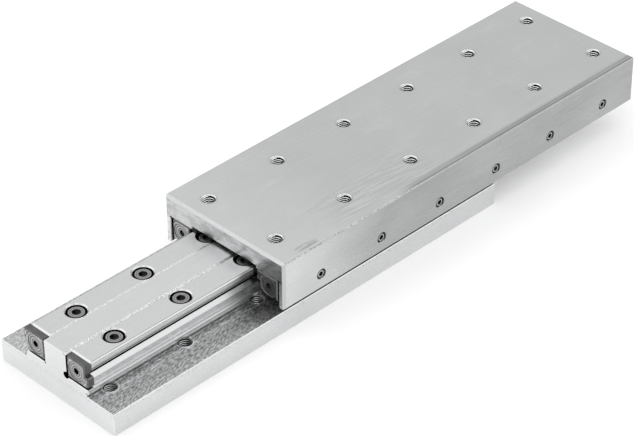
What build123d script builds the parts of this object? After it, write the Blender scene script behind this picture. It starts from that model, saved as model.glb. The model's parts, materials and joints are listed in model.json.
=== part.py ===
from build123d import *
import os
from math import sqrt

# Crossed-roller slide table, in millimetres.
# X is the travel, Y the width and Z up. The origin is the centre of the base's underside.

# Rails and the rollers between them
rail_length = 150.0
rail_width = 8.3
rail_height = 8.0
rail_gap = 1.4               # between the faces of two facing rails
rail_chamfer = 0.4           # long edges
rail_end_chamfer = 0.5       # upper edges of the ends
groove_square = 3.0          # side of the square channel that the rollers run in
groove_relief_width = 0.7    # slot at the root of each V groove
groove_relief_depth = 0.2
roller_clearance = 0.01      # between a roller and the flank it rolls on
roller_end_clearance = 0.1   # between a roller's end and the flank it faces
roller_count = 16            # in each cage
roller_pitch = 5.0
roller_chamfer = 0.15

# Roller cages. Their length sets the stroke, since a cage runs from stop to stop.
cage_face_clearance = 0.3    # from the strip to the rails' faces
cage_edge_clearance = 0.8    # from the strip's edges to the rails' top and bottom
cage_end_margin = 4.9        # from the last roller's centre to the end of the cage
cage_end_play = 0.1          # left at each end of a cage at full stroke
cage_corner = 0.6
cage_window_clearance = 0.04  # around each roller

# Place of the carriage as drawn
rest_margin = 1.0            # short of the end of its travel, towards +X

# Base
flange_height = 7.5
seat_rise = 2.5              # rail seats stand this far above the flange
seat_ledge = 0.9             # near seat reaches this far past its rail's face
far_seat_inset = 0.4         # far seat ends this far inside its rail's face
far_seat_flare = 0.6         # and widens by this down to the flange
seat_chamfer = 0.2
rib_width = 9.0
rib_near_chamfer = 0.7       # on the side of the set screws
rib_far_chamfer = 0.3
base_inset = 1.0             # base is narrower than the carriage on each side
base_chamfer = 0.2

# Corner reliefs, round undercuts where two machined faces meet
near_relief_radius = 1.1
far_relief_radius = 0.35
foot_relief_radius = 0.6
foot_relief_inset = 0.4      # its centre lies this far under the seat
foot_relief_rise = 0.9       # and this far above the flange
roof_relief_radius = 0.4

# Carriage
plate_thickness = 7.0        # from the outer rails' seats to the top face
wall_thickness = 2.5
skirt_gap = 1.3              # from the base's flange up to the walls
skirt_flat = 0.4             # left between the rounds of a wall's lower edges
recess_depth = 1.0           # clears the inner rails and the rib
recess_side_clearance = 0.6
preload_gap = 0.3            # behind the rail that the set screws push
carriage_end_chamfer = 0.8
carriage_side_chamfer = 0.4
carriage_inner_chamfer = 0.2

# Mounting holes, in the carriage's top and through the base's flange
mount_thread = 4.0
mount_mouth = 4.7
mount_pitch = 28.0
mount_row_spacing = 28.0
mount_end_margin = 7.5
mount_depth = 5.5
mount_break_in = 1.0         # base holes run on into the foot of the seats

# Cap screws that hold the rails
screw_thread = 3.0
screw_head = 5.5
screw_head_height = 3.0
screw_head_chamfer = 0.3
screw_socket = 2.5
screw_socket_depth = 1.5
screw_head_recess = 0.5
inner_screw_length = 10.0
outer_screw_length = 8.0
counterbore_clearance = 0.4  # around the screw's head
counterbore_chamfer = 0.4
screw_hole_clearance = 0.2   # around the screw's shank
rail_hole_pitch = 25.0
rail_hole_inset = 3.5        # from the rail's back
rail_hole_end_margin = 12.5
thread_clearance = 0.05
tip_room = 1.3               # tapped holes run on past the screws' tips

# End pieces and their countersunk screws
end_plate_thickness = 2.3
end_plate_recess = 0.2       # end pieces stay inside the ends of base and carriage
end_plate_back_gap = 0.6
end_plate_edge_gap = 0.45
end_plate_face_gap = 0.6
end_plate_chamfer = 0.3
nose_clearance = 0.2         # from a nose to the rail it passes
nose_corner = 0.4
end_screw_head = 6.0
end_screw_clearance = 0.2    # around the head, at the mouth of its countersink
end_screw_length = 7.0
end_screw_socket = 2.0
end_screw_socket_depth = 1.1

# Preload set screws
set_screw_thread = 3.0
set_screw_recess = 0.2
set_screw_chamfer = 0.3
set_screw_socket = 1.5
set_screw_socket_depth = 1.2
set_hole_mouth = 3.5

# Sizes that follow from those above
table_length = rail_length + 2 * (end_plate_thickness + end_plate_recess)
seat_z = flange_height + seat_rise
roof_z = seat_z + rail_height
top_z = roof_z + plate_thickness
skirt_z = flange_height + skirt_gap
skirt_radius = (wall_thickness - preload_gap - skirt_flat) / 2
groove_z = seat_z + rail_height / 2
rib_half = rib_width / 2
inner_face = rib_half + rail_width
outer_face = inner_face + rail_gap
outer_back = outer_face + rail_width
groove_y = (inner_face + outer_face) / 2
carriage_half = outer_back + wall_thickness
base_half = carriage_half - base_inset
seat_half = inner_face + seat_ledge
far_seat_half = inner_face - far_seat_inset
recess_half = inner_face + recess_side_clearance
screw_hole = screw_thread + 2 * screw_hole_clearance
counterbore = screw_head + 2 * counterbore_clearance
counterbore_mouth = counterbore + 2 * counterbore_chamfer
counterbore_depth = screw_head_height + screw_head_recess
end_screw_mouth = end_screw_head + 2 * end_screw_clearance
rail_web = rail_height - counterbore_depth
groove_half_opening = groove_square / sqrt(2) - rail_gap / 2
roller_radius = groove_square / 2 - roller_clearance
roller_length = groove_square - 2 * roller_end_clearance
cage_length = (roller_count - 1) * roller_pitch + 2 * cage_end_margin
cage_thickness = rail_gap - 2 * cage_face_clearance
cage_height = rail_height - 2 * cage_edge_clearance
stroke = 2 * (rail_length - cage_length - 2 * cage_end_play)
carriage_offset = stroke / 2 - rest_margin
cage_offset = carriage_offset / 2
near, far = -1, 1            # sides of the table: the near one has the set screws


def centred_row(count, pitch):
    """Places of a row of equal steps about x = 0."""
    return [(i - (count - 1) / 2) * pitch for i in range(count)]


def steps_that_fit(length, end_margin, pitch):
    """Number of places of a row that stays clear of both ends of a length."""
    digits = 6               # so that a whole number of steps stays whole
    steps = (length - 2 * end_margin) / pitch
    return int(round(steps, digits)) + 1


rail_hole_count = steps_that_fit(rail_length, rail_hole_end_margin, rail_hole_pitch)
rail_holes = centred_row(rail_hole_count, rail_hole_pitch)
mount_hole_count = steps_that_fit(table_length, mount_end_margin, mount_pitch)
mount_holes = centred_row(mount_hole_count, mount_pitch)
roller_places = centred_row(roller_count, roller_pitch)
roller_tilts = [45 if i % 2 else -45 for i in range(roller_count)]
rail_hole_y = rib_half + rail_hole_inset


def block(x, y, z):
    """Box between a pair of limits along each axis."""
    size = [b - a for a, b in (x, y, z)]
    centre = [(a + b) / 2 for a, b in (x, y, z)]
    return Pos(*centre) * Box(*size)


def prism(outline, x_start, x_end):
    """Solid with a (y, z) outline, from x_start to x_end."""
    face = make_face(Polyline(*[(x_start, y, z) for y, z in outline], close=True))
    return extrude(face, x_end - x_start, dir=(1, 0, 0))


def end_rims(solid):
    """Edges of the end faces at both ends of X."""
    faces = solid.faces().sort_by(Axis.X)
    return faces[0].edges() + faces[-1].edges()


def long_rod(y, z, radius, length):
    """Round bar along X, centred on x = 0."""
    return Pos(0, y, z) * Rot(0, 90, 0) * Cylinder(radius, length)


def bevel(size, length):
    """Bar along Y that leaves a 45 degree chamfer on the edge that it is cut from."""
    side = sqrt(2) * size
    return Rot(0, 45, 0) * Box(side, length, side)


def drill(diameter, depth):
    """Round cut that goes down from z = 0."""
    return Pos(0, 0, -depth / 2) * Cylinder(diameter / 2, depth)


def countersink(diameter, mouth):
    """45 degree cone down from z = 0, from the mouth's diameter to the hole's."""
    depth = (mouth - diameter) / 2
    return Pos(0, 0, -depth / 2) * Cone(diameter / 2, mouth / 2, depth)


def socket(across_flats, depth):
    """Hexagonal cut that goes down from z = 0."""
    hexagon = RegularPolygon(across_flats / 2, 6, major_radius=False)
    return extrude(hexagon, -depth)


def copies(tool, places):
    """Cutting tool repeated at each place."""
    return [place * tool for place in places]


# Base

def make_base():
    half = table_length / 2
    edge = base_chamfer
    flange_side = [(base_half - edge, 0), (base_half, edge),
                   (base_half, flange_height - edge), (base_half - edge, flange_height)]
    far_side = flange_side + [(far_seat_half + far_seat_flare, flange_height),
                              (far_seat_half, seat_z - seat_chamfer),
                              (far_seat_half - seat_chamfer, seat_z), (rib_half, seat_z)]
    near_side = flange_side + [(seat_half, flange_height), (seat_half, seat_z - seat_chamfer),
                               (seat_half - seat_chamfer, seat_z), (rib_half, seat_z)]
    near_side = [(-y, z) for y, z in reversed(near_side)]
    rib_top = [(rib_half, roof_z - rib_far_chamfer), (rib_half - rib_far_chamfer, roof_z),
               (-rib_half + rib_near_chamfer, roof_z), (-rib_half, roof_z - rib_near_chamfer)]
    base = prism(far_side + rib_top + near_side, -half, half)
    base = chamfer(end_rims(base), edge)
    reliefs = [long_rod(near * rib_half, seat_z + near_relief_radius / 2, near_relief_radius, table_length),
               long_rod(far * rib_half, seat_z, far_relief_radius, table_length),
               long_rod(near * (seat_half - foot_relief_inset), flange_height + foot_relief_rise,
                        foot_relief_radius, table_length)]
    reach = flange_height + mount_break_in
    through = Pos(0, 0, reach) * drill(mount_thread, reach)
    mouth = countersink(mount_thread, mount_mouth)
    grid = [(x, side * mount_row_spacing / 2) for x in mount_holes for side in (near, far)]
    depth = inner_screw_length - rail_web + tip_room
    rail_tap = drill(screw_thread + 2 * thread_clearance, depth)
    taps = [Pos(x, side * rail_hole_y, seat_z) for x in rail_holes for side in (near, far)]
    return base - reliefs - copies(rail_tap, taps) \
        - copies(through, [Pos(x, y, 0) for x, y in grid]) \
        - copies(mouth, [Pos(x, y, flange_height) for x, y in grid]) \
        - copies(mouth, [Pos(x, y, 0) * Rot(180, 0, 0) for x, y in grid])


# Carriage

def make_carriage():
    half = table_length / 2
    near_wall = -(outer_back + preload_gap)
    body = block((-half, half), (-carriage_half, carriage_half), (skirt_z, top_z))
    body = chamfer(body.edges().filter_by(Axis.X).group_by(Axis.Z)[-1], carriage_side_chamfer)
    end_bevel = bevel(carriage_end_chamfer, table_length)
    for end in (-half, half):
        body -= Pos(end, 0, top_z) * end_bevel
        body -= [Pos(end, side * carriage_half, top_z) * Rot(90, 0, 0) * end_bevel for side in (near, far)]
    body -= block((-half, half), (near_wall, outer_back), (skirt_z, roof_z))
    body -= block((-half, half), (-recess_half, recess_half), (roof_z, roof_z + recess_depth))
    inside = carriage_half - wall_thickness / 2
    inner_rims = [e for e in end_rims(body) if abs(e.center().Y) < inside
                  and skirt_z + skirt_radius < e.center().Z < top_z - plate_thickness / 2]
    body = chamfer(inner_rims, carriage_inner_chamfer)
    body = fillet(body.edges().filter_by(Axis.X).group_by(Axis.Z)[0], skirt_radius)
    reliefs = [long_rod(near_wall, roof_z, roof_relief_radius, table_length),
               long_rod(outer_back, roof_z, roof_relief_radius, table_length)]
    mount = drill(mount_thread, mount_depth) + countersink(mount_thread, mount_mouth)
    grid = [Pos(x, side * mount_row_spacing / 2, top_z) for x in mount_holes for side in (near, far)]
    depth = outer_screw_length - rail_web + tip_room
    rail_tap = Rot(180, 0, 0) * drill(screw_thread + 2 * thread_clearance, depth)
    tap_y = outer_back - rail_hole_inset
    taps = [Pos(x, side * tap_y, roof_z) for x in rail_holes for side in (near, far)]
    set_diameter = set_screw_thread + 2 * thread_clearance
    set_tap = drill(set_diameter, wall_thickness) + countersink(set_diameter, set_hole_mouth)
    sets = [Pos(x, -carriage_half, groove_z) * Rot(90, 0, 0) for x in rail_holes]
    body = body - reliefs - copies(mount, grid) - copies(rail_tap, taps) - copies(set_tap, sets)
    return Pos(carriage_offset, 0, 0) * body


# Rails. Each is made with its back on y = 0, its V groove facing +Y and its counterbores up.

def make_rail():
    half = rail_length / 2
    mid = rail_height / 2
    edge = rail_chamfer
    slot = groove_relief_width / 2
    root = rail_width - groove_half_opening
    flank_end = root + slot
    upper = [(rail_width, mid + groove_half_opening), (rail_width, rail_height - edge),
             (rail_width - edge, rail_height), (edge, rail_height), (0, rail_height - edge)]
    groove = [(root - groove_relief_depth, mid + slot), (flank_end, mid + slot)]
    above = groove + upper
    below = [(y, rail_height - z) for y, z in reversed(above)]
    rail = prism(above + below, -half, half)
    end_edges = [Pos(side * half, rail_width / 2, rail_height) for side in (-1, 1)]
    end_bevel = bevel(rail_end_chamfer, 2 * rail_width)
    hole = drill(screw_hole, rail_height) + drill(counterbore, counterbore_depth)
    hole += countersink(counterbore, counterbore_mouth)
    holes = [Pos(x, rail_hole_inset, rail_height) for x in rail_holes]
    reach = end_screw_length + end_screw_clearance - end_plate_thickness + tip_room
    end_tap = drill(screw_thread + 2 * thread_clearance, reach)
    taps = [Pos(side * half, rail_width / 2, mid) * Rot(0, side * 90, 0) for side in (-1, 1)]
    return rail - copies(end_bevel, end_edges) - copies(hole, holes) - copies(end_tap, taps)


def at_end(end, solid):
    """Part made for the rail's +X end, or the same part turned over for the -X end."""
    mid = rail_height / 2
    return solid if end > 0 else Pos(0, 0, mid) * Rot(0, 180, 0) * Pos(0, 0, -mid) * solid


def make_end_plate():
    """Stop plate on the rail's +X end, with a nose below the groove that stops the cage."""
    low, high = end_plate_edge_gap, rail_height - end_plate_edge_gap
    back, front = end_plate_back_gap, rail_width - end_plate_face_gap
    tip = rail_width + rail_gap / 2
    nose_top = rail_height / 2 - nose_clearance
    outline = [(back, low), (tip - nose_corner, low), (tip, low + nose_corner),
               (tip, nose_top - nose_corner), (tip - nose_corner, nose_top), (front, nose_top),
               (front, high), (back, high)]
    start = rail_length / 2
    plate = prism(outline, start, start + end_plate_thickness)
    plate = chamfer(plate.faces().sort_by(Axis.X)[-1].edges(), end_plate_chamfer)
    face = Pos(start + end_plate_thickness, rail_width / 2, rail_height / 2) * Rot(0, 90, 0)
    plate -= face * drill(screw_hole, end_plate_thickness)
    return plate - face * countersink(screw_hole, end_screw_mouth)


def make_end_screw():
    """Countersunk screw through the end plate into the rail's +X end."""
    head = (end_screw_head - screw_thread) / 2
    cone = Pos(0, 0, -head / 2) * Cone(screw_thread / 2, end_screw_head / 2, head)
    screw = cone + drill(screw_thread, end_screw_length)
    screw -= socket(end_screw_socket, end_screw_socket_depth)
    x = rail_length / 2 + end_plate_thickness - end_screw_clearance
    return Pos(x, rail_width / 2, rail_height / 2) * Rot(0, 90, 0) * screw


def make_cap_screws(length):
    """Row of cap screws, their heads in the rail's counterbores."""
    head = drill(screw_head, screw_head_height)
    head = chamfer(head.edges().group_by(Axis.Z)[-1], screw_head_chamfer)
    shank = drill(screw_thread, screw_head_height + length)
    screw = head + shank - socket(screw_socket, screw_socket_depth)
    top = rail_height - screw_head_recess
    return [Pos(x, rail_hole_inset, top) * screw for x in rail_holes]


def make_set_screws():
    """Row of set screws whose tips press on the near outer rail's back."""
    length = wall_thickness - set_screw_recess
    screw = drill(set_screw_thread, length)
    screw = chamfer(screw.edges().filter_by(GeomType.CIRCLE), set_screw_chamfer)
    screw -= socket(set_screw_socket, set_screw_socket_depth)
    y = -(carriage_half - set_screw_recess)
    return [Pos(carriage_offset + x, y, groove_z) * Rot(90, 0, 0) * screw for x in rail_holes]


# Rollers and cages, in a frame at the middle of the channel

def make_roller(tilt, growth=0.0):
    """Roller turned about X by the tilt, or the larger shape of the window that holds it."""
    roller = Cylinder(roller_radius + growth, roller_length + 2 * growth)
    roller = chamfer(roller.edges().filter_by(GeomType.CIRCLE), roller_chamfer)
    return Rot(tilt, 0, 0) * roller


def make_cage():
    strip = Box(cage_length, cage_thickness, cage_height)
    strip = chamfer(strip.edges().filter_by(Axis.Y), cage_corner)
    windows = [Pos(x, 0, 0) * make_roller(tilt, cage_window_clearance)
               for x, tilt in zip(roller_places, roller_tilts)]
    return strip - windows


# Where each rail stands, with what is fastened to it

rail_frames = {
    "inner_left": Pos(0, rib_half, seat_z),
    "inner_right": Pos(0, -rib_half, seat_z) * Rot(0, 0, 180),
    "outer_left": Pos(carriage_offset, outer_back, roof_z) * Rot(180, 0, 0),
    "outer_right": Pos(carriage_offset, -outer_back, roof_z) * Rot(0, 180, 0),
}
sides = {"left": far, "right": near}


def make_nodes():
    nodes = {"base": [make_base()], "carriage": [make_carriage()], "preload_set_screws": make_set_screws()}
    rail = make_rail()
    screw_rows = {
        "inner": make_cap_screws(inner_screw_length),
        "outer": make_cap_screws(outer_screw_length),
    }
    end_plate = make_end_plate()
    end_screw = make_end_screw()
    end_screws = {"inner": [], "outer": []}
    for place, frame in rail_frames.items():
        family = place.split("_")[0]
        turned = place in ("inner_right", "outer_right")
        nodes[f"{place}_rail"] = [frame * rail]
        nodes[f"{place}_rail_screws"] = [frame * screw for screw in screw_rows[family]]
        for end, word in ((-1, "front"), (1, "rear")):
            local_end = -end if turned else end
            nodes[f"{place}_end_piece_{word}"] = [frame * at_end(local_end, end_plate)]
            end_screws[family].append(frame * at_end(local_end, end_screw))
    nodes["base_end_piece_screws"] = end_screws["inner"]
    nodes["carriage_end_piece_screws"] = end_screws["outer"]
    for word, side in sides.items():
        channel = Pos(cage_offset, side * groove_y, groove_z)
        nodes[f"roller_cage_{word}"] = [channel * make_cage()]
        for i, (x, tilt) in enumerate(zip(roller_places, roller_tilts)):
            nodes[f"roller_{word}_{i + 1:02d}"] = [channel * Pos(x, 0, 0) * make_roller(tilt)]
    return nodes


os.makedirs("parts", exist_ok=True)
for name, solids in make_nodes().items():
    shape = solids[0] if len(solids) == 1 else Compound(children=solids)
    export_step(shape, f"parts/{name}.step")
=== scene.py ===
import json
import math

import bpy
from mathutils import Matrix, Vector


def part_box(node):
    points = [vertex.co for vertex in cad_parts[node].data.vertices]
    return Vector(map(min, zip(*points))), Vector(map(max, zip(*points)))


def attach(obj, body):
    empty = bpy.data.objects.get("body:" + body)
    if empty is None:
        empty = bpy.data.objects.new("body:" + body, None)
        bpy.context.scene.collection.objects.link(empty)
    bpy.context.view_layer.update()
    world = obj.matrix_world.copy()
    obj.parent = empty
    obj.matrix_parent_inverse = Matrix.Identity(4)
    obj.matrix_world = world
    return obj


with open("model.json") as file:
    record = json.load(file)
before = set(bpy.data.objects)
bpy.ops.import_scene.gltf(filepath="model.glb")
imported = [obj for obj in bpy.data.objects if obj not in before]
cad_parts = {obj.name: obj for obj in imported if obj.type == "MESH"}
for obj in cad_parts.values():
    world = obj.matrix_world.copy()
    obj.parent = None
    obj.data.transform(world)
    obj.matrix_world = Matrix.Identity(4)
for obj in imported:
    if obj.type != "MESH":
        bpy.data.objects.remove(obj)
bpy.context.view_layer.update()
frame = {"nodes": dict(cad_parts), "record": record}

# Studio picture of a slide table on crossed rollers. All lengths are in metres.

MM = 0.001
scene = bpy.context.scene


# Places on the table, worked out from the frame at rest

base_low, base_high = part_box("base")
carriage_low, carriage_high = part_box("carriage")
inner_low, inner_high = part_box("inner_left_rail")
outer_low, outer_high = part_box("outer_left_rail")
cap_screws_low, cap_screws_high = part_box("inner_left_rail_screws")
base_x = (base_low.x + base_high.x) / 2
carriage_x = (carriage_low.x + carriage_high.x) / 2
table_top = carriage_high.z
half_width = carriage_high.y
roof_underside = outer_high.z
rail_top = inner_high.z
seat_top = inner_low.z
rib_side = inner_low.y
rail_edge = inner_high.y
channel_y = (inner_high.y + outer_low.y) / 2
groove_height = (seat_top + rail_top) / 2       # the set screws and the end-piece screws are as high
cap_screw_row = (cap_screws_low.y + cap_screws_high.y) / 2
end_screw_rows = ((inner_low.y + inner_high.y) / 2, (outer_low.y + outer_high.y) / 2)

# Sizes that the frame doesn't tell

FLANGE_TOP = 7.5 * MM
SEAT_WALL = 13.7 * MM
RAIL_CHAMFER = 0.4 * MM
GROOVE_REACH = 2.23 * MM         # from the middle of the channel between two rails
HOLE_PITCH = 28.0 * MM          # mounting holes, along a row
ROW_SPACING = 28.0 * MM
HOLES_IN_ROW = 6
MOUTH_RADIUS = 2.35 * MM
MOUTH_DEPTH = 0.35 * MM
THREAD_PITCH = 0.7 * MM
MAJOR_RADIUS = 2.0 * MM
MINOR_RADIUS = 1.65 * MM
SET_SCREW_PITCH = 25.0 * MM
SET_SCREW_RADIUS = 1.8 * MM
CAP_SCREW_PITCH = 25.0 * MM

# Ranges for above(), which turn a part of the normal into a mask

FACING = (0.9, 0.97)            # faces that look along the axis
FACING_BACK = (-0.9, -0.97)     # faces that look against it
TURNED_AWAY = (0.5, 0.3)        # for the part's size: faces that look along neither
SLANTED = (0.5, 0.6)            # for the lesser of two parts: chamfers between their faces

# Tints, which multiply a grey value

NEUTRAL = (1.0, 1.0, 1.0)
COOL = (0.985, 0.995, 1.0)
BRASS = (1.0, 0.82, 0.50)


# Small helpers for node trees

def add_node(tree, kind, inputs=None, **settings):
    """New node with its settings and its inputs, which are plain values or other nodes' sockets."""
    node = tree.nodes.new(kind)
    for key, value in settings.items():
        setattr(node, key, value)
    for key, value in (inputs or {}).items():
        if isinstance(value, bpy.types.NodeSocket):
            tree.links.new(value, node.inputs[key])
        else:
            node.inputs[key].default_value = value
    return node


def math_node(tree, operation, a, b=0.0):
    """Result of one operation on two values."""
    return add_node(tree, "ShaderNodeMath", {0: a, 1: b}, operation=operation).outputs[0]


def grey(value):
    """Opaque grey for a colour socket."""
    return (value, value, value, 1.0)


class Surface:
    """A material's node tree, with the object's coordinates and normal ready to use."""

    def __init__(self, name, metallic=1.0):
        self.material = bpy.data.materials.new(name)
        self.material.use_nodes = True
        self.tree = self.material.node_tree
        self.shader = self.tree.nodes["Principled BSDF"]
        self.shader.inputs["Metallic"].default_value = metallic
        place = add_node(self.tree, "ShaderNodeTexCoord")
        self.place = place.outputs["Object"]
        at = add_node(self.tree, "ShaderNodeSeparateXYZ", {"Vector": self.place})
        facing = add_node(self.tree, "ShaderNodeSeparateXYZ", {"Vector": place.outputs["Normal"]})
        self.x, self.y, self.z = at.outputs
        self.nx, self.ny, self.nz = facing.outputs

    # patterns of 0 to 1

    def noise(self, scale, detail=2.0, roughness=0.5, stretch=(1, 1, 1), turn=(0, 0, 0)):
        """Noise with so many waves to the metre, drawn out along an axis by a small stretch value."""
        turned_place = add_node(self.tree, "ShaderNodeMapping", {"Vector": self.place, "Rotation": turn})
        vector = add_node(self.tree, "ShaderNodeMapping", {
            "Vector": turned_place.outputs["Vector"], "Scale": stretch}).outputs["Vector"]
        return add_node(self.tree, "ShaderNodeTexNoise", {
            "Vector": vector, "Scale": scale, "Detail": detail, "Roughness": roughness}).outputs["Fac"]

    def streaks(self, waves, detail=3.0, roughness=0.6, turn=(0, 0, 0)):
        """Noise with its own number of waves to the metre along X, Y and Z."""
        return self.noise(1.0, detail, roughness, waves, turn)

    def grinding(self, width, length):
        """Streaks of the grinding wheel: along X on most faces and along Y on the end faces."""
        across, along = 1 / width, 1 / length
        on_end = self.above(self.size_of(self.nx), 0.75, 0.9)
        lengthways = self.streaks((along, across, across))
        crossways = self.streaks((across, along, across))
        return self.mix(on_end, lengthways, crossways)

    # sums

    def plus(self, *values):
        total = values[0]
        for value in values[1:]:
            total = math_node(self.tree, "ADD", total, value)
        return total

    def times(self, *values):
        product = values[0]
        for value in values[1:]:
            product = math_node(self.tree, "MULTIPLY", product, value)
        return product

    def size_of(self, value):
        return math_node(self.tree, "ABSOLUTE", value)

    def lesser(self, a, b):
        return math_node(self.tree, "MINIMUM", a, b)

    def mix(self, amount, a, b):
        """Plain blend of two values: a where the amount is 0 and b where it is 1."""
        inputs = {"Factor": amount, "A": a, "B": b}
        return add_node(self.tree, "ShaderNodeMix", inputs, data_type="FLOAT").outputs[0]

    def spread(self, pattern, low, high):
        """A pattern of 0 to 1 turned into low to high."""
        inputs = {"Value": pattern, "To Min": low, "To Max": high}
        return add_node(self.tree, "ShaderNodeMapRange", inputs).outputs["Result"]

    def dim(self, value, mask, share):
        """A value that falls to a share of itself where the mask is 1."""
        return self.times(value, self.spread(mask, 1.0, share))

    # distances

    def to_nearest(self, value, first, pitch):
        """Distance from the nearest place of a row along one direction."""
        return math_node(self.tree, "PINGPONG", self.plus(value, -first), pitch / 2)

    def from_axis(self, across, up):
        """Distance from an axis, given the distances along two directions square to it."""
        total = self.plus(self.times(across, across), self.times(up, up))
        return math_node(self.tree, "SQRT", total)

    def from_hole(self, first, pitch, row):
        """Distance from the nearest upright hole of two rows along X, at row and -row."""
        along = self.to_nearest(self.x, first, pitch)
        return self.from_axis(along, self.plus(self.size_of(self.y), -row))

    # masks of 0 to 1

    def above(self, value, low, high):
        """0 below low, 1 above high and smooth between. With low above high it is the other way round."""
        inputs = {"Value": value, "From Min": low, "From Max": high}
        ramp = add_node(self.tree, "ShaderNodeMapRange", inputs, interpolation_type="SMOOTHSTEP")
        return ramp.outputs["Result"]

    def near(self, value, middle, reach, full):
        """1 within full of a middle and 0 beyond reach of it."""
        return self.above(self.size_of(self.plus(value, -middle)), reach, full)

    def ring(self, distance, radius, width):
        """1 on a circle or a line and 0 off it."""
        return self.near(distance, radius, width / 2, width / 5)

    def chamfer(self, sideways):
        """1 on the chamfers between the tops and the faces that look one way or the other sideways."""
        return self.above(self.lesser(self.size_of(sideways), self.nz), *SLANTED)

    # links to the shader

    def tone(self, value, tint):
        """Colour made from a grey value and a tint."""
        parts = {i: self.times(value, t) for i, t in enumerate(tint)}
        colour = add_node(self.tree, "ShaderNodeCombineColor", parts)
        self.tree.links.new(colour.outputs[0], self.shader.inputs["Base Color"])

    def rough(self, value):
        self.tree.links.new(value, self.shader.inputs["Roughness"])

    def bump(self, height, depth):
        """Bump from a height pattern of 0 to 1, which stands for a depth in metres."""
        node = add_node(self.tree, "ShaderNodeBump", {"Height": height, "Distance": depth})
        self.tree.links.new(node.outputs["Normal"], self.shader.inputs["Normal"])


# Distances and marks that several materials share. Grey values run from 0 to 1, and the last two
# numbers of spread() and of mix() are the values where the pattern is 0 and where it is 1.

def from_set_screw(s):
    """Distance from the axis of the nearest set screw in the carriage's side."""
    along = s.to_nearest(s.x, carriage_x + SET_SCREW_PITCH / 2, SET_SCREW_PITCH)
    return s.from_axis(along, s.plus(s.z, -groove_height))


def from_cap_screw(s):
    """Distance from the axis of the nearest cap screw of the inner rails."""
    return s.from_hole(CAP_SCREW_PITCH / 2, CAP_SCREW_PITCH, cap_screw_row)


def from_end_screw(s):
    """Distance from the axis of the nearest end-piece screw."""
    y = s.size_of(s.y)
    inner, outer = (s.size_of(s.plus(y, -row)) for row in end_screw_rows)
    return s.from_axis(s.lesser(inner, outer), s.plus(s.z, -groove_height))


def in_hole(s, value, middle, top, crest_value, mouth_value, outline_value):
    """Grey value, with the thread's crests in the mounting holes, painted shade in the thread's roots, and
    the holes' mouths.
    """
    gap = s.from_hole(middle + HOLE_PITCH / 2, HOLE_PITCH, ROW_SPACING / 2)
    below = s.above(s.z, top - 0.02 * MM, top - 0.05 * MM)
    inside = s.times(s.above(gap, MOUTH_RADIUS + 0.05 * MM, MOUTH_RADIUS + 0.02 * MM), below)
    root = s.above(gap, MINOR_RADIUS + 0.07 * MM, MINOR_RADIUS + 0.21 * MM)
    mouth = s.above(s.z, top - MOUTH_DEPTH - 0.01 * MM, top - MOUTH_DEPTH + 0.01 * MM)
    rim = s.times(s.ring(gap, MOUTH_RADIUS + 0.15 * MM, 0.4 * MM), s.above(s.nz, *FACING))
    # the roots of the thread are darkened as painted shade
    thread = s.mix(root, crest_value, 0.05)
    return s.mix(inside, s.mix(rim, value, outline_value), s.mix(mouth, thread, mouth_value))


def worn_edges(s, value):
    """Grey value, with the bright chamfers of the rails and the rib broken up by small nicks."""
    edge = s.times(s.chamfer(s.ny), s.above(s.z, rail_top - 0.8 * MM, rail_top - 0.7 * MM))
    inner = s.above(s.size_of(s.y), 11.5 * MM, 11.0 * MM)
    nicks = s.above(s.noise(4200.0, 2.0, 0.6), 0.42, 0.58)
    factor = s.mix(inner, 0.92, s.spread(nicks, 0.52, 1.08))
    return s.mix(edge, value, s.times(value, factor))


def turned(s):
    """Ring marks of 0 to 1 around the screws of the end pieces, with painted shade in the gap round each
    screw.
    """
    ring_pitch = 0.85 * MM
    gap = from_end_screw(s)
    wave = math_node(s.tree, "SINE", s.times(gap, 2 * math.pi / ring_pitch))
    rings = s.plus(s.times(wave, 0.5), 0.5)
    # painted shade in the gap round each screw
    marks = s.plus(rings, s.times(s.ring(gap, 3.05 * MM, 0.5 * MM), -1.3))
    return s.above(marks, 0.25, 0.75)


def near_outer_end(s):
    """1 on the end pieces of the near outer rail and their screws, which lie in shade."""
    return s.above(s.y, -channel_y + 0.1 * MM, -channel_y - 0.1 * MM)


# Carriage: ranges where its marks, its painted shade and its painted reflection set in, or the middle, reach
# and full part of a patch

DARK_REFLECTION_Y = (-13 * MM, -20 * MM)
DARK_REFLECTION_Z = (table_top, table_top - 5 * MM)
LOWER_END_Z = (roof_underside - 0.1 * MM, roof_underside - 0.6 * MM)
REAR_X = (carriage_low.x, carriage_low.x + 45 * MM)
EDGE_BAND_X = (32 * MM, 45 * MM)
EDGE_BAND_Y = (-21.9 * MM, -23.2 * MM)
BORDER_Y = (-24.0 * MM, -24.2 * MM)
SCRATCHED_X = (32 * MM, 30 * MM, 12 * MM)
SCRATCHED_Y = (-16 * MM, 9 * MM, 4 * MM)
SMUDGE_X = (-2.1 * MM, 5.0 * MM, 2.5 * MM)
SMUDGE_Y = (-22.7 * MM, 1.4 * MM, 0.7 * MM)


def ground_faces(s, streaks, cloud):
    """Grey value of the ground faces, darker and brushed lengthways on the upright ones."""
    blots = s.above(s.noise(130.0, 4.0, 0.6, (0.5, 1, 1)), 0.56, 0.72)
    grain = s.spread(s.noise(2600.0, 2.0, 0.6), -0.05, 0.05)
    value = s.plus(s.spread(s.mix(0.5, streaks, cloud), 0.66, 0.78), s.times(blots, 0.025), grain)
    upright = s.above(s.size_of(s.nz), *TURNED_AWAY)
    brushed = s.above(s.streaks((90, 90, 3200), 4.0, 0.7), 0.45, 0.75)
    shade = s.above(s.noise(24.0, 2.0, 0.5, (1, 1, 2)), 0.3, 0.7)
    marks = s.plus(s.times(brushed, -0.07), s.spread(shade, -0.07, 0.03))
    return s.dim(s.plus(value, s.times(upright, marks)), upright, 0.80)


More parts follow.
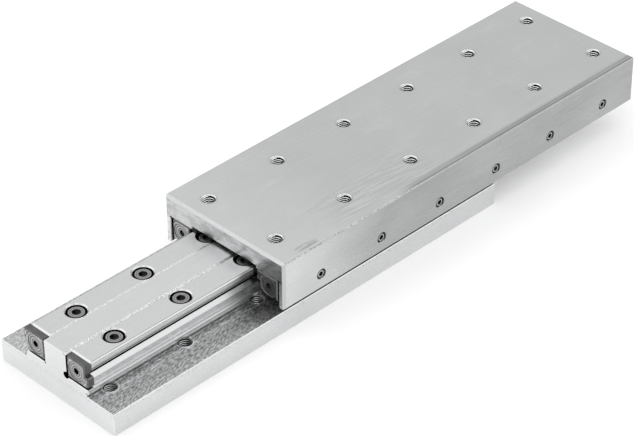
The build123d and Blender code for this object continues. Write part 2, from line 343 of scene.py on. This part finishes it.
def painted_shade_in_set_screw_holes(s, value):
    """Grey value, with painted shade in the bores of the holes of the near side."""
    in_side = s.above(s.y, -half_width + 0.6 * MM, -half_width + 0.5 * MM)
    in_bore = s.above(from_set_screw(s), SET_SCREW_RADIUS + 0.05 * MM, SET_SCREW_RADIUS - 0.05 * MM)
    # painted shade in the bores of the set-screw holes
    return s.mix(s.times(in_side, in_bore), value, 0.10)


def smeared_front_and_painted_reflection(s, value):
    """Grey value, with wavy smears on the front, a painted dark reflection near its corner and pale lower
    ends.
    """
    front = s.above(s.nx, *FACING_BACK)
    waves = s.above(s.noise(420.0, 5.0, 0.65, (1, 0.6, 1.4)), 0.44, 0.54)
    corner = s.times(s.above(s.y, *DARK_REFLECTION_Y), s.above(s.z, *DARK_REFLECTION_Z))
    value = s.plus(value, s.times(front, s.spread(waves, -0.09, 0.02)))
    # painted dark reflection on the front near its corner
    return s.plus(value, s.times(front, s.mix(s.above(s.z, *LOWER_END_Z), s.times(corner, -0.17), 0.16)))


def painted_rear_shade(s, value):
    """Grey value, with painted shade that makes the top and the near side darker towards the rear."""
    near_side = s.above(s.ny, *FACING_BACK)
    top = s.above(s.nz, *FACING)
    rear = s.above(s.x, *REAR_X)
    # painted shade: near side lighter at the front, top and near side darker at the rear
    return s.plus(value, s.times(near_side, s.spread(rear, 0.12, -0.16)), s.times(top, rear, -0.075))


def edge_banded_top(s, value):
    """Grey value, with a darker streaky band on the top close to the near edge and a dark border there."""
    top = s.above(s.nz, *FACING)
    edge_band_part = s.above(s.x, *EDGE_BAND_X)
    edge_band = s.times(s.above(s.y, *EDGE_BAND_Y), edge_band_part)
    edge_band_streaks = s.above(s.streaks((14, 1500, 1), 4.0, 0.7), 0.36, 0.6)
    value = s.plus(value, s.times(top, edge_band, s.spread(edge_band_streaks, -0.09, -0.28)))
    border = s.times(s.above(s.y, *BORDER_Y), edge_band_part)
    return s.dim(value, s.times(top, border), 0.62)


def scratched_top(s, value):
    """Grey value, with fine scratches by the near holes, a smudge by the corner and long pale lines."""
    top = s.above(s.nz, *FACING)
    scratched = s.times(s.near(s.y, *SCRATCHED_Y), s.near(s.x, *SCRATCHED_X))
    scratches = s.above(s.streaks((70, 1500, 1), turn=(0, 0, 0.05)), 0.44, 0.60)
    value = s.plus(value, s.times(top, scratched, s.spread(scratches, -0.05, 0.06)))
    smudge = s.times(s.near(s.y, *SMUDGE_Y), s.near(s.x, *SMUDGE_X))
    smears = s.above(s.streaks((160, 1300, 1)), 0.42, 0.60)
    value = s.plus(value, s.times(top, smudge, s.spread(smears, -0.03, -0.26)))
    lines = s.above(s.streaks((10, 900, 1), turn=(0, 0, 0.02)), 0.60, 0.70)
    return s.plus(value, s.times(top, lines, 0.035))


def nicked_edges(s, value):
    """Grey value, with the chamfers of the long edges dark and uneven and the front one a little duller."""
    edge_band_part = s.above(s.x, *EDGE_BAND_X)
    nicks = s.above(s.noise(2200.0, 2.0, 0.6), 0.35, 0.65)
    long_edge = s.mix(edge_band_part, s.spread(nicks, 0.30, 0.60), s.spread(nicks, 0.38, 0.46))
    value = s.mix(s.chamfer(s.ny), value, long_edge)
    dulled = s.spread(s.noise(1500.0, 3.0, 0.6), 0.70, 0.95)
    return s.times(value, s.mix(s.chamfer(s.nx), 1.0, dulled))


def make_carriage_steel():
    s = Surface("ground_carriage_steel")
    streaks = s.grinding(0.45 * MM, 14 * MM)
    fine = s.grinding(0.16 * MM, 6 * MM)
    cloud = s.noise(55.0, 3.0, 0.55)
    value = ground_faces(s, streaks, cloud)
    for marked in (painted_shade_in_set_screw_holes, smeared_front_and_painted_reflection, painted_rear_shade, edge_banded_top, scratched_top, nicked_edges):
        value = marked(s, value)
    value = in_hole(s, value, carriage_x, table_top,
                    crest_value=1.0, mouth_value=0.74, outline_value=0.55)
    s.tone(value, COOL)
    s.rough(s.spread(s.mix(0.4, fine, cloud), 0.16, 0.36))
    s.bump(s.mix(0.5, streaks, fine), 0.004 * MM)
    return s.material


# Base: waves to the metre of the cutter's marks, and ranges or places of the marks and the painted shade by
# its seats and rib

GRAIN_WAVES = tuple(1 / (length * MM) for length in (1.5, 0.42, 0.5))
GRAIN_TURN = (0, 0, -0.28)
DASH_WAVES = tuple(1 / (length * MM) for length in (3.0, 0.5, 0.5))
WALL_LINES = ((9.80 * MM, 0.8 * MM), (8.7 * MM, 0.7 * MM))      # height and width
WALL_Y = (-SEAT_WALL + 0.8 * MM, -SEAT_WALL + 0.7 * MM)
WALL_END_Y = (-16 * MM, -15.5 * MM)
WALL_Z = (7.02 * MM, 7.1 * MM)
WALL_TOP_Z = (seat_top - 0.02 * MM, seat_top - 0.05 * MM)
SPECKS_Z = (8.5 * MM, 8.4 * MM)
BROW_Z = (FLANGE_TOP - 2.1 * MM, FLANGE_TOP - 0.2 * MM)
BROW_TOP_Z = (FLANGE_TOP + 0.2 * MM, FLANGE_TOP + 0.1 * MM)
RIB_FOOT_Y = (-rib_side, 1.25 * MM, 1.15 * MM)                  # middle, reach and full part
RIB_FOOT_Z = (seat_top + 0.55 * MM, 1.25 * MM, 1.05 * MM)


def finished_faces(s, up, streaks):
    """Grey value of the base's finished faces, with fine grain on those that don't look up."""
    cloud = s.noise(60.0, 3.0, 0.5)
    value = s.spread(s.mix(0.5, streaks, cloud), 0.70, 0.84)
    value = s.dim(value, s.above(s.size_of(s.ny), *FACING), 0.90)
    rubbed = s.spread(s.noise(2400.0, 2.0, 0.6), -0.12, 0.10)
    return s.plus(value, s.times(rubbed, s.mix(up, 1.0, 0.15)))


def nicked_brow(s, value):
    """Grey value, with dark nicks along the upper part of the flange's sides."""
    upright = s.above(s.size_of(s.nz), *TURNED_AWAY)
    height = s.times(s.above(s.z, *BROW_Z), s.above(s.z, *BROW_TOP_Z))
    nicks = s.above(s.noise(2000.0, 3.0, 0.6), 0.56, 0.66)
    return s.plus(value, s.times(upright, height, nicks, -0.45))


def lined_seat_wall(s, value):
    """Grey value, with two dark lines and specks along the foot of the near seat's wall."""
    across = s.times(s.above(s.y, *WALL_Y), s.above(s.y, *WALL_END_Y))
    height = s.times(s.above(s.z, *WALL_Z), s.above(s.z, *WALL_TOP_Z))
    wall = s.times(s.above(s.size_of(s.nx), *TURNED_AWAY), across, height)
    specks = s.above(s.noise(1500.0, 2.0, 0.6, (0.6, 1, 1)), 0.42, 0.58)
    wall_value = s.mix(s.above(s.z, *SPECKS_Z), 1.12, s.spread(specks, 0.55, 1.15))
    lines = s.plus(*(s.ring(s.z, height, width) for height, width in WALL_LINES))
    return s.times(value, s.mix(wall, 1.0, s.dim(wall_value, lines, 0.5)))


def milled_flange(s, grain, dashes):
    """Grey value of the flange's tops, with coarse grain, pale dashes that are partly painted glints, and
    painted shade at the foot along the seats.
    """
    y = s.size_of(s.y)
    # the dashes are white in part as painted glints on the cutter's marks
    value = s.mix(dashes, s.spread(s.above(grain, 0.36, 0.64), 0.22, 0.72), 1.0)
    # painted shade along the foot of the seats
    value = s.dim(value, s.above(y, SEAT_WALL + 0.8 * MM, SEAT_WALL + 0.4 * MM), 0.75)
    return s.mix(s.above(s.y, 0.0, 1 * MM), value, s.spread(value, 0.20, 1.0))


def painted_shade_at_rib_foot(s, value):
    """Grey value, with painted shade in the relief along the near foot of the rib."""
    foot = s.times(s.near(s.y, *RIB_FOOT_Y), s.near(s.z, *RIB_FOOT_Z))
    # painted shade in the relief at the rib's foot
    return s.mix(s.times(foot, s.above(s.size_of(s.nx), *TURNED_AWAY)), value, 0.03)


def make_base_steel():
    s = Surface("milled_base_steel")
    y = s.size_of(s.y)
    streaks = s.grinding(0.4 * MM, 9 * MM)
    up = s.above(s.nz, 0.8, 0.95)
    low = s.above(s.z, FLANGE_TOP + 0.7 * MM, FLANGE_TOP + 0.3 * MM)
    flange = s.times(up, low, s.above(y, 12.6 * MM, 12.9 * MM))
    # flange tops keep the coarse marks of the cutter, which ran on into dashes by the seats, drawn partly as
    # painted glints
    grain = s.streaks(GRAIN_WAVES, 3.0, 0.65, GRAIN_TURN)
    dashes = s.above(s.streaks(DASH_WAVES, 3.0, 0.7), 0.58, 0.62)
    beyond_wall = s.above(y, SEAT_WALL + 0.6 * MM, SEAT_WALL + 0.9 * MM)
    dashes = s.times(dashes, beyond_wall, s.above(y, 19.0 * MM, 15.0 * MM))
    finished = lined_seat_wall(s, nicked_brow(s, finished_faces(s, up, streaks)))
    value = s.mix(flange, finished, milled_flange(s, grain, dashes))
    value = worn_edges(s, painted_shade_at_rib_foot(s, value))
    value = in_hole(s, value, base_x, FLANGE_TOP,
                    crest_value=0.85, mouth_value=s.mix(grain, 0.5, 1.0), outline_value=0.9)
    s.tone(value, COOL)
    s.rough(s.mix(flange, s.spread(streaks, 0.22, 0.38), s.mix(dashes, s.spread(grain, 0.22, 0.45), 0.6)))
    s.bump(s.mix(flange, s.times(streaks, 0.03), s.plus(grain, s.times(dashes, 0.5))), 0.03 * MM)
    return s.material


# Rails, rollers and cages, with the ranges of the marks and the painted shade on the inner rails' outer parts

OUTER_PART_Y = (12.0 * MM, 12.1 * MM)
EDGE_LINES_Z = (rail_top - 0.9 * MM, rail_top - 0.8 * MM)
FLANK_Z = (rail_top - 2.7 * MM, rail_top - 2.6 * MM)
BAND_Z = (rail_top - 1.5 * MM, rail_top - 1.8 * MM)
FLANK_LINE_Z = (rail_top - 2.2 * MM, 0.34 * MM)                 # height and width of the line of painted shade under the grooves' upper lips
SLOPE_Y = (11.0 * MM, 11.1 * MM)
SLOPE_Z = (groove_height + 0.2 * MM, groove_height + 0.1 * MM)


def lined_flanks(s, value):
    """Grey value, with dark lines by the inner rails' outer chamfers, bands on their flanks with a line of
    painted shade under the grooves' upper lips, and a duller lower slope of their grooves."""
    y = s.size_of(s.y)
    outer_part = s.above(y, *OUTER_PART_Y)
    lines = s.plus(s.ring(y, rail_edge - RAIL_CHAMFER, 0.3 * MM), s.ring(s.z, rail_top - 0.5 * MM, 0.22 * MM))
    lines = s.times(lines, outer_part, s.above(s.z, *EDGE_LINES_Z))
    value = s.dim(value, lines, 0.55)
    flank = s.times(s.above(s.size_of(s.ny), *FACING), outer_part, s.above(s.z, *FLANK_Z))
    bands = s.spread(s.above(s.z, *BAND_Z), 1.0, 0.72)
    # painted shade along the upper lips of the grooves
    bands = s.dim(bands, s.ring(s.z, *FLANK_LINE_Z), 0.30)
    value = s.times(value, s.mix(flank, 1.0, bands))
    slope = s.times(s.above(s.nz, *SLANTED), s.above(s.z, *SLOPE_Z), s.above(y, *SLOPE_Y))
    return s.dim(value, slope, 0.87)


def make_rail_steel():
    s = Surface("hardened_rail_steel")
    y = s.size_of(s.y)
    streaks = s.grinding(0.35 * MM, 30 * MM)
    cloud = s.noise(40.0, 2.0, 0.5)
    fine = s.spread(s.noise(1800.0, 2.0, 0.6), -0.04, 0.04)
    value = s.plus(s.spread(s.mix(0.5, streaks, cloud), 0.73, 0.80), fine)
    value = lined_flanks(s, worn_edges(s, value))
    # counterbores round the cap screws, and slots at the roots of the V grooves, both darkened as painted
    # shade
    counterbore = s.times(s.above(from_cap_screw(s), 3.3 * MM, 3.25 * MM),
                          s.above(s.z, rail_top - 0.35 * MM, rail_top - 0.45 * MM))
    value = s.mix(counterbore, value, 0.10)
    roots = s.plus(*(s.ring(y, channel_y + side * GROOVE_REACH, 0.5 * MM) for side in (-1, 1)))
    slot = s.times(s.above(roots, 0.05, 0.3), s.near(s.z, groove_height, 0.42 * MM, 0.36 * MM))
    s.tone(s.mix(slot, value, 0.04), COOL)
    s.rough(s.spread(streaks, 0.2, 0.3))
    s.bump(streaks, 0.001 * MM)
    return s.material


def make_roller_steel():
    s = Surface("lapped_roller_steel")
    haze = s.noise(900.0, 2.0, 0.5)
    s.tone(s.spread(haze, 0.78, 0.86), COOL)
    s.rough(s.spread(haze, 0.08, 0.16))
    s.bump(haze, 0.001 * MM)
    return s.material


def make_cage_brass():
    s = Surface("stamped_cage_brass")
    rolled = s.streaks((120, 1500, 1500))
    tarnish = s.noise(260.0, 4.0, 0.6)
    s.tone(s.spread(s.mix(0.6, rolled, tarnish), 0.62, 0.86), BRASS)
    s.rough(s.spread(tarnish, 0.28, 0.5))
    s.bump(rolled, 0.004 * MM)
    return s.material


# End pieces and screws

HEAD_RINGS = ((2.2 * MM, 0.7), (1.6 * MM, 0.6))     # radius and brightness
HEAD_RING_WIDTH = 0.4 * MM


def make_end_piece_steel():
    s = Surface("burnished_end_piece_steel")
    mottle = s.noise(700.0, 5.0, 0.7)
    rubbed = s.streaks((2600, 500, 2600))
    face = s.above(s.size_of(s.nx), *FACING)
    blotches = s.above(mottle, 0.40, 0.62)
    bright = s.spread(s.mix(0.6, turned(s), blotches), 0.08, 0.56)
    # painted shade on the end pieces of the near outer rail
    bright = s.dim(bright, near_outer_end(s), 0.42)
    bright = s.plus(bright, s.times(s.ring(from_end_screw(s), 3.2 * MM, 0.34 * MM), 0.30))
    dark = s.spread(s.mix(0.4, mottle, rubbed), 0.04, 0.26)
    s.tone(s.mix(face, dark, bright), NEUTRAL)
    s.rough(s.spread(mottle, 0.22, 0.5))
    s.bump(mottle, 0.02 * MM)
    return s.material


def turned_cap_heads(s, value):
    """Grey value, with turning marks on the heads of the cap screws and painted shade on a rim round them."""
    gap = from_cap_screw(s)
    marks = s.plus(*(s.times(s.ring(gap, radius, HEAD_RING_WIDTH), bright) for radius, bright in HEAD_RINGS))
    value = s.plus(value, s.times(marks, s.above(s.nz, 0.5, 0.7), 0.32))
    # painted shade on the rim of the head, next to the counterbore's wall
    rim = s.times(s.above(gap, 2.36 * MM, 2.46 * MM), s.above(s.nz, 0.3, 0.5),
                  s.above(s.size_of(s.y), 12.5 * MM, 12.4 * MM))
    return s.mix(rim, value, 0.03)


def make_screw_steel():
    s = Surface("black_oxide_screw_steel")
    speckle = s.noise(1500.0, 3.0, 0.6)
    end = s.above(s.size_of(s.nx), *FACING)
    bright = s.spread(s.mix(0.4, turned(s), speckle), 0.08, 0.55)
    # painted shade on the screws of the near outer rail's end pieces
    bright = s.dim(bright, near_outer_end(s), 0.50)
    value = turned_cap_heads(s, s.mix(end, s.spread(speckle, 0.07, 0.34), bright))
    # set screws have a light ring round the socket
    side = s.above(s.size_of(s.ny), *FACING)
    value = s.mix(side, value, s.spread(s.ring(from_set_screw(s), 0.95 * MM, 0.34 * MM), 0.05, 0.62))
    s.tone(value, NEUTRAL)
    s.rough(s.spread(speckle, 0.3, 0.5))
    s.bump(speckle, 0.006 * MM)
    return s.material


finishes = {
    "carriage_steel": make_carriage_steel(),
    "base_steel": make_base_steel(),
    "rail_steel": make_rail_steel(),
    "roller_steel": make_roller_steel(),
    "cage_brass": make_cage_brass(),
    "end_piece_steel": make_end_piece_steel(),
    "screw_steel": make_screw_steel(),
}
for part in frame["record"]["subparts"]:
    mesh = frame["nodes"][part["node"]].data
    mesh.materials.clear()
    mesh.materials.append(finishes[part["material_slot"]])


# Threads in the mounting holes

CARRIAGE_THREADS = (table_top - 5.25 * MM, table_top - 0.45 * MM)       # lower and upper ends
BASE_THREADS = (0.45 * MM, FLANGE_TOP - 0.5 * MM)
STEPS_PER_TURN = 28
ROOT_HALF = 0.44        # half widths of a ridge, as shares of the pitch
CREST_HALF = 0.07
SUNK = 0.06             # share of a ridge's depth that is let into the wall


def ridge_outline(tree, given):
    """Cross-section of one thread ridge, with X towards the hole's axis."""
    depth = math_node(tree, "SUBTRACT", given["Major Radius"], given["Minor Radius"])
    sunk = math_node(tree, "MULTIPLY", depth, -SUNK)
    corners = {}
    for number, (across, share) in enumerate(
            ((sunk, -ROOT_HALF), (depth, -CREST_HALF), (depth, CREST_HALF), (sunk, ROOT_HALF)), 1):
        along = math_node(tree, "MULTIPLY", given["Pitch"], share)
        corner = add_node(tree, "ShaderNodeCombineXYZ", {"X": across, "Y": along})
        corners[f"Point {number}"] = corner.outputs[0]
    return add_node(tree, "GeometryNodeCurvePrimitiveQuadrilateral", corners, mode="POINTS").outputs["Curve"]


def thread_tree():
    """Grid of helical ridges, one in each tapped hole."""
    tree = bpy.data.node_groups.new("tapped_holes", "GeometryNodeTree")
    face = tree.interface
    face.new_socket("Geometry", in_out="OUTPUT", socket_type="NodeSocketGeometry")
    identifiers = {}
    kinds = {
        "Pitch": "Float", "Major Radius": "Float", "Minor Radius": "Float", "Turns": "Float",
        "Centre": "Vector", "Hole Pitch": "Float", "Row Spacing": "Float", "Holes In Row": "Int",
        "Steel": "Material"}
    for name, kind in kinds.items():
        socket = face.new_socket(name, in_out="INPUT", socket_type="NodeSocket" + kind)
        identifiers[name] = socket.identifier
    given = tree.nodes.new("NodeGroupInput").outputs
    height = math_node(tree, "MULTIPLY", given["Pitch"], given["Turns"])
    helix = add_node(tree, "GeometryNodeCurveSpiral", {
        "Resolution": STEPS_PER_TURN, "Rotations": given["Turns"], "Start Radius": given["Major Radius"],
        "End Radius": given["Major Radius"], "Height": height})
    upright = add_node(tree, "GeometryNodeSetCurveNormal", {"Curve": helix.outputs["Curve"]}, mode="Z_UP")
    thread = add_node(tree, "GeometryNodeCurveToMesh", {
        "Curve": upright.outputs["Curve"], "Profile Curve": ridge_outline(tree, given), "Fill Caps": True})
    gaps = math_node(tree, "SUBTRACT", given["Holes In Row"], 1.0)
    grid = add_node(tree, "GeometryNodeMeshGrid", {
        "Size X": math_node(tree, "MULTIPLY", given["Hole Pitch"], gaps), "Size Y": given["Row Spacing"],
        "Vertices X": given["Holes In Row"], "Vertices Y": 2})
    placed = add_node(tree, "GeometryNodeInstanceOnPoints", {
        "Points": grid.outputs["Mesh"], "Instance": thread.outputs["Mesh"]})
    moved = add_node(tree, "GeometryNodeTransform", {
        "Geometry": placed.outputs["Instances"], "Translation": given["Centre"]})
    real = add_node(tree, "GeometryNodeRealizeInstances", {"Geometry": moved.outputs["Geometry"]})
    dressed = add_node(tree, "GeometryNodeSetMaterial", {
        "Geometry": real.outputs["Geometry"], "Material": given["Steel"]})
    result = tree.nodes.new("NodeGroupOutput")
    tree.links.new(dressed.outputs["Geometry"], result.inputs["Geometry"])
    return tree, identifiers


def bake(name, tree, identifiers, values, body):
    """Runs a node tree once, keeps its result as a plain mesh and hangs it on a body."""
    carrier = bpy.data.objects.new(name + "_maker", bpy.data.meshes.new(name + "_maker"))
    scene.collection.objects.link(carrier)
    modifier = carrier.modifiers.new("tree", "NODES")
    modifier.node_group = tree
    for key, value in values.items():
        modifier[identifiers[key]] = value
    bpy.context.view_layer.update()
    evaluated = carrier.evaluated_get(bpy.context.evaluated_depsgraph_get())
    mesh = bpy.data.meshes.new_from_object(evaluated)
    bpy.data.objects.remove(carrier)
    mesh.name = name
    piece = bpy.data.objects.new(name, mesh)
    scene.collection.objects.link(piece)
    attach(piece, body)


tapped, tapped_inputs = thread_tree()
for name, body, slot, (bottom, top), x in (
        ("carriage_hole_threads", "carriage", "carriage_steel", CARRIAGE_THREADS, carriage_x),
        ("base_hole_threads", "base", "base_steel", BASE_THREADS, base_x)):
    bake(name, tapped, tapped_inputs, {
        "Pitch": THREAD_PITCH, "Major Radius": MAJOR_RADIUS, "Minor Radius": MINOR_RADIUS,
        "Turns": (top - bottom) / THREAD_PITCH, "Centre": (x, 0.0, bottom), "Hole Pitch": HOLE_PITCH,
        "Row Spacing": ROW_SPACING, "Holes In Row": HOLES_IN_ROW, "Steel": finishes[slot]}, body)


# Camera at the photograph's viewing angle

CAMERA_AZIMUTH = math.radians(-44.668)
CAMERA_ELEVATION = math.radians(35.561)
CAMERA_ROLL = math.radians(-0.443)
CAMERA_PLACE = Vector((-0.42529, -0.45512, 0.46699))
FOCAL_LENGTH = 149.48
SENSOR_WIDTH = 36.0
NEAREST_SEEN = 0.05
FARTHEST_SEEN = 20.0

camera = bpy.data.objects.new("camera", bpy.data.cameras.new("camera"))
scene.collection.objects.link(camera)
back = Vector((math.sin(CAMERA_AZIMUTH) * math.cos(CAMERA_ELEVATION),
               -math.cos(CAMERA_AZIMUTH) * math.cos(CAMERA_ELEVATION), math.sin(CAMERA_ELEVATION)))
camera.rotation_mode = "QUATERNION"
camera.rotation_quaternion = ((-back).to_track_quat("-Z", "Y").to_matrix()
                              @ Matrix.Rotation(CAMERA_ROLL, 3, "Z")).to_quaternion()
camera.location = CAMERA_PLACE
camera.data.sensor_width = SENSOR_WIDTH
camera.data.lens = FOCAL_LENGTH
camera.data.clip_start = NEAREST_SEEN
camera.data.clip_end = FARTHEST_SEEN
camera.data.dof.use_dof = False
scene.camera = camera


# Floor and studio light

FLOOR_HALF = 3.0
FLOOR_GLOW = 0.18
LIGHT_TARGET = Vector((0.03, 0, 0.01))
WORLD_GREY = 0.8
WORLD_STRENGTH = 0.95


def make_paper():
    s = Surface("pale_paper", metallic=0.0)
    s.rough(s.spread(s.noise(300.0), 0.85, 0.95))
    s.tone(s.spread(s.noise(40.0), 0.89, 0.91), NEUTRAL)
    s.shader.inputs["Emission Color"].default_value = grey(1.0)
    s.shader.inputs["Emission Strength"].default_value = FLOOR_GLOW
    return s.material


floor_mesh = bpy.data.meshes.new("floor")
floor_corners = [(x * FLOOR_HALF, y * FLOOR_HALF, 0) for x, y in ((-1, -1), (1, -1), (1, 1), (-1, 1))]
floor_mesh.from_pydata(floor_corners, [], [(0, 1, 2, 3)])
floor = bpy.data.objects.new("floor", floor_mesh)
scene.collection.objects.link(floor)
floor_mesh.materials.append(make_paper())


def soft_box(name, place, side, power):
    """Large square light that faces the table."""
    light = bpy.data.lights.new(name, "AREA")
    light.shape = "SQUARE"
    light.size = side
    light.energy = power
    lamp = bpy.data.objects.new(name, light)
    scene.collection.objects.link(lamp)
    lamp.location = place
    lamp.rotation_mode = "QUATERNION"
    lamp.rotation_quaternion = (LIGHT_TARGET - Vector(place)).to_track_quat("-Z", "Y")


soft_box("box_right", place=(1.1, -1.1, 1.1), side=2.0, power=5.5)
soft_box("box_left", place=(-1.1, 1.1, 1.1), side=2.0, power=5.5)
soft_box("box_top", place=(0.0, 0.0, 2.0), side=3.0, power=13)

world = bpy.data.worlds.new("studio")
world.use_nodes = True
world.node_tree.nodes["Background"].inputs["Color"].default_value = grey(WORLD_GREY)
world.node_tree.nodes["Background"].inputs["Strength"].default_value = WORLD_STRENGTH
scene.world = world
scene.view_settings.view_transform = "Standard"
scene.view_settings.look = "None"
scene.view_settings.exposure = 0.0
